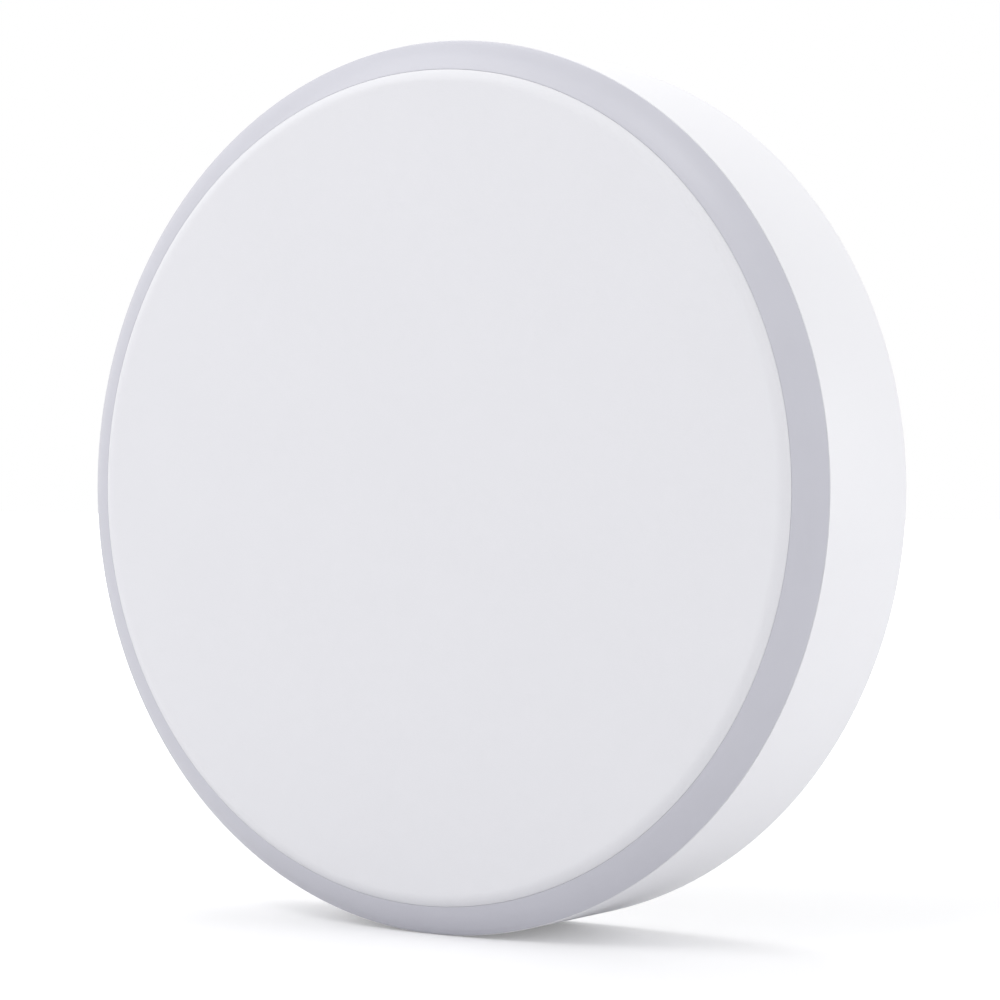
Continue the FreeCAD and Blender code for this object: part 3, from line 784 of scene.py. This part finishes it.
combine(housing, copies_at(gusset, spaced(GUSSET_COUNT, GUSSET_START))
        + copies_at(boss, spaced(SCREW_COUNT, SCREW_START)) + copies_at(pin, PIN_ANGLES)
        + copies_at(stop, spaced(LUG_COUNT, rest_side) + spaced(LUG_COUNT, end_side)), "UNION")
print("housing faces with ribs:", len(housing.data.polygons))

# %% Housing openings
OVER = 1.0 * MM
NOTCH_SPARE = 1.2
NOTCH_GAP = 0.2 * MM
NOTCH_DEPTH = 0.05 * MM
HOOK_GAP = 0.15 * MM

notch_angle = LUG_ANGLE + 2 * NOTCH_SPARE
notch = add_sector("notch", rectangle(flange_bore - OVER, lug_radius + NOTCH_GAP,
                                      flange_y - NOTCH_DEPTH, back_y + OVER), notch_angle)
slot = add_block("hook_slot", rectangle(hook_outer - HOOK_LEG - HOOK_REACH - HOOK_GAP,
                                        hook_outer + HOOK_GAP, deck_y - OVER,
                                        deck_back_y + DECK_LIP_DEPTH / 2),
                 HOOK_WIDTH + 2 * HOOK_GAP)
hole = add_peg("screw_hole", SCREW_CIRCLE, SCREW_HOLE, -SCREW_HOLE_END, board_low.y + OVER)
pocket = add_block("key_pocket", rectangle(rebate - SINK, rebate + KEY_REACH,
                                           rim_low.y - OVER, deck_y), KEY_WIDTH + 2 * SEAT_GAP)
notch_start = LUG_START - UNLOCK_TURN - notch_angle / 2
combine(housing, copies_at(notch, spaced(LUG_COUNT, notch_start))
        + copies_at(slot, spaced(HOOK_COUNT, HOOK_START))
        + copies_at(hole, spaced(SCREW_COUNT, SCREW_START))
        + copies_at(pocket, spaced(KEY_COUNT, 0)), "DIFFERENCE")
smooth(housing)
dress(housing, shell_plastic, "button_body", "shell_white", "housing")

# %% [markdown]
# ## The wall plate
#
# The plate closes the battery bay and stays on the wall. It has a shallow recess for the
# adhesive pad, a groove round its edge for the seal, a collar with three bayonet lugs and
# straight ribs that stiffen the part between the cell holder and the collar.

# %% Wall plate
EDGE_CUT = 0.2 * MM
PAD_MARGIN = 3.8 * MM
PAD_BORDER = 0.3 * MM
PAD_RECESS = 0.15 * MM
SEAL_RADIUS = 0.3 * MM
SEAL_GAP = 0.03 * MM
GROOVE_GAP = 0.05 * MM
COLLAR_WALL = 1.4 * MM
RIB_START = 12.25 * MM
PLATE_RIB_DEPTH = 0.6 * MM
PLATE_RIB_WIDTH = 1.0 * MM
PLATE_RIB_COUNT = 6

plate_radius = flange_bore - PLATE_GAP
pad_radius = plate_radius - PAD_MARGIN
collar_bore = plate_radius - COLLAR_WALL
collar_y = flange_y - COLLAR_DEPTH
seal_circle = flange_bore - SEAL_GAP - SEAL_RADIUS
seal_y = (back_y + flange_y) / 2
groove_floor = seal_circle - SEAL_RADIUS - GROOVE_GAP
groove_half = SEAL_RADIUS + GROOVE_GAP
plate_section = [
    (0, back_y - PAD_RECESS),
    (pad_radius + PAD_BORDER, back_y - PAD_RECESS),
    (pad_radius + PAD_BORDER, back_y),
    (plate_radius - EDGE_CUT, back_y),
    (plate_radius, back_y - EDGE_CUT),
    (plate_radius, seal_y + groove_half),
    (groove_floor, seal_y + groove_half),
    (groove_floor, seal_y - groove_half),
    (plate_radius, seal_y - groove_half),
    (plate_radius, collar_y),
    (collar_bore, collar_y),
    (collar_bore, flange_y),
    (0, flange_y)]
plate = turn_piece("wall_plate_moulding", plate_section, edge=MOULD_EDGE, segments=2)
lug = add_sector("lug", rectangle(plate_radius - SINK, lug_radius, collar_y,
                                  flange_y - GROOVE_GAP), LUG_ANGLE)
plate_rib = add_block("plate_rib", rectangle(RIB_START, collar_bore + SINK,
                                             flange_y - PLATE_RIB_DEPTH, flange_y + SINK),
                      PLATE_RIB_WIDTH)
combine(plate, copies_at(lug, spaced(LUG_COUNT, LUG_START - LUG_ANGLE / 2))
        + copies_at(plate_rib, spaced(PLATE_RIB_COUNT, 0)), "UNION")
smooth(plate)
dress(plate, cover_plastic, "wall_plate", "cover_white", "back_cover")

# %% [markdown]
# ## Foam, rubber and silicone
#
# Foam is a field of small closed cells. A noise would give it bumps without an order. A voronoi
# texture has just such cells, and its distance drives the bump, while the smooth rubbers keep a
# fine noise.

# %% Foam
FOAM_CELL = 0.22 * MM
FOAM_CLOUD = 2 * MM
FOAM_SHADE = 0.88
FOAM_ROUGHNESS = 0.92
CELL_DEPTH = 0.06 * MM
CELL_STRENGTH = 0.9

def foam(name, colour):
    """Foam with small closed cells."""
    material, nodes, links, shader, place = new_material(name)
    cells = nodes.new("ShaderNodeTexVoronoi")
    cells.inputs["Scale"].default_value = 1 / FOAM_CELL
    links.new(place, cells.inputs["Vector"])
    cloud = noise(nodes, links, place, FOAM_CLOUD)
    links.new(tone(nodes, links, cloud, colour, FOAM_SHADE), shader.inputs["Base Color"])
    shader.inputs["Roughness"].default_value = FOAM_ROUGHNESS
    links.new(bump(nodes, links, cells.outputs["Distance"], CELL_DEPTH, CELL_STRENGTH),
              shader.inputs["Normal"])
    return material

pad_foam = foam("pad_foam", (0.46, 0.47, 0.49))

# %% Rubber and silicone
RUBBER_CLOUD = 1.5 * MM
RUBBER_SHADE = 0.85
RUBBER_SHINE = 0.05
RUBBER_DULL = 0.08
RUBBER_GRAIN = 0.08 * MM
RUBBER_DEPTH = 0.002 * MM
RUBBER_STRENGTH = 0.6

def rubber(name, colour, roughness):
    """A smooth rubber with a fine grain."""
    material, nodes, links, shader, place = new_material(name)
    cloud = noise(nodes, links, place, RUBBER_CLOUD)
    links.new(tone(nodes, links, cloud, colour, RUBBER_SHADE), shader.inputs["Base Color"])
    links.new(spread(nodes, links, cloud, roughness - RUBBER_SHINE, roughness + RUBBER_DULL),
              shader.inputs["Roughness"])
    fine = noise(nodes, links, place, RUBBER_GRAIN, detail=2.0)
    links.new(bump(nodes, links, fine, RUBBER_DEPTH, RUBBER_STRENGTH), shader.inputs["Normal"])
    return material

seal_rubber = rubber("seal_rubber", (0.025, 0.025, 0.027), roughness=0.55)
stop_silicone = rubber("stop_silicone", (0.62, 0.63, 0.65), roughness=0.45)

# %% [markdown]
# ## The soft pieces
#
# Three soft pieces finish the back and the press. The foam pad is a disc with a round bite that
# a fingernail gets under, and its cut edge is a little rounded, because foam is die-cut while it
# is squeezed. The seal is a ring with a round section, so a torus is its exact shape. The
# silicone ring on the deck has a domed crown that the cap lands on, so it is turned like the
# mouldings.

# %% Adhesive pad
PAD_EDGE = 0.08 * MM
PEEL_RADIUS = 3.0 * MM
PEEL_OUTSET = 1.0 * MM
PEEL_ANGLE = 270
BITE_STEPS = 96
PAD_SHARP_ANGLE = 60

pad_low, pad_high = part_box("adhesive_pad")
pad = turn_piece("tape_disc", [(0, pad_high.y), (pad_radius, pad_high.y),
                               (pad_radius, pad_low.y), (0, pad_low.y)], edge=0)
bite = add_peg("bite", pad_radius + PEEL_OUTSET, PEEL_RADIUS, pad_low.y - OVER, pad_high.y + OVER,
               steps=BITE_STEPS)
combine(pad, copies_at(bite, [PEEL_ANGLE]), "DIFFERENCE")
break_edges(pad, PAD_EDGE, angle=PAD_SHARP_ANGLE)
smooth(pad)
dress(pad, pad_foam, "wall_plate", "foam_tape", "adhesive_pad")

# %% Seal
SEAL_STEPS = 20
SEAL_SMOOTH_ANGLE = 60

deselect()
bpy.ops.mesh.primitive_torus_add(major_radius=seal_circle, minor_radius=SEAL_RADIUS,
                                 major_segments=SPIN_STEPS, minor_segments=SEAL_STEPS,
                                 location=(0, seal_y, 0), rotation=(math.pi / 2, 0, 0))
seal = bpy.context.object
seal.name = "rubber_seal"
bpy.ops.object.transform_apply(location=True, rotation=True, scale=True)
smooth(seal, SEAL_SMOOTH_ANGLE)
dress(seal, seal_rubber, "wall_plate", "seal_rubber", "seal_ring")

# %% Stop ring
STOP_WIDTH = 1.8 * MM
CROWN_RISE = 0.1 * MM
CROWN_STEPS = 8

stop_low, stop_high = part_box("stop_ring")
stop_outer = stop_high.x
stop_inner = stop_outer - STOP_WIDTH
half_width = STOP_WIDTH / 2
crown_radius = (half_width ** 2 + CROWN_RISE ** 2) / (2 * CROWN_RISE)
crown_angle = math.degrees(math.asin(half_width / crown_radius))
crown_centre = ((stop_inner + stop_outer) / 2, stop_low.y + crown_radius)
crown = arc(crown_centre, crown_radius, -90 - crown_angle, -90 + crown_angle, CROWN_STEPS)
stop_section = crown + [(stop_outer, stop_high.y), (stop_inner, stop_high.y)]
stop_ring = turn_piece("silicone_ring", stop_section + stop_section[:1], edge=0)
dress(stop_ring, stop_silicone, "button_body", "silicone", "stop_ring")

# %% [markdown]
# ## Carried-over parts
#
# The board, the switch, the cell and the other inner parts keep their CAD shapes. They could be
# modelled again like the outer ones, but a closed button hides them, so it is enough that each
# gets the finish of its kind.

# %% Inner finishes
PLAIN_CLOUD = 2.5 * MM
PLAIN_SHADE = 0.9
PLAIN_GLOSS = 0.06
PLAIN_GRAIN = 0.2 * MM
PLAIN_DEPTH = 0.003 * MM
PLAIN_STRENGTH = 0.7

def plain_finish(name, colour, roughness, metallic=0.0):
    """A finish for small parts: cloudy in tone and gloss, with a fine grain."""
    material, nodes, links, shader, place = new_material(name)
    cloud = noise(nodes, links, place, PLAIN_CLOUD)
    links.new(tone(nodes, links, cloud, colour, PLAIN_SHADE), shader.inputs["Base Color"])
    links.new(spread(nodes, links, cloud, roughness - PLAIN_GLOSS, roughness + PLAIN_GLOSS),
              shader.inputs["Roughness"])
    shader.inputs["Metallic"].default_value = metallic
    fine = noise(nodes, links, place, PLAIN_GRAIN, detail=2.0)
    links.new(bump(nodes, links, fine, PLAIN_DEPTH, PLAIN_STRENGTH), shader.inputs["Normal"])
    return material

# %% The finish of every part
finishes = {
    "cap_white": cap_plastic,
    "shell_white": shell_plastic,
    "ring_grey": ring_satin,
    "cover_white": cover_plastic,
    "foam_tape": pad_foam,
    "seal_rubber": seal_rubber,
    "silicone": stop_silicone,
    "board_green": plain_finish("board_lacquer", (0.02, 0.16, 0.07), roughness=0.35),
    "steel": plain_finish("bare_steel", (0.62, 0.62, 0.63), roughness=0.32, metallic=1.0),
    "nickel": plain_finish("nickel_plate", (0.70, 0.68, 0.64), roughness=0.25, metallic=1.0),
    "black_plastic": plain_finish("black_plastic", (0.02, 0.02, 0.022), roughness=0.5),
    "holder_plastic": plain_finish("holder_plastic", (0.04, 0.04, 0.045), roughness=0.55),
    "ceramic_tan": plain_finish("fired_ceramic", (0.42, 0.32, 0.20), roughness=0.5),
    "module_blue": plain_finish("module_lacquer", (0.015, 0.05, 0.14), roughness=0.35),
}
slot_of = {part["node"]: part["material_slot"] for part in frame["record"]["subparts"]}
for name, node in frame["nodes"].items():
    for place in node.material_slots:
        place.material = finishes[slot_of[name]]
print("CAD nodes dressed:", len(frame["nodes"]))
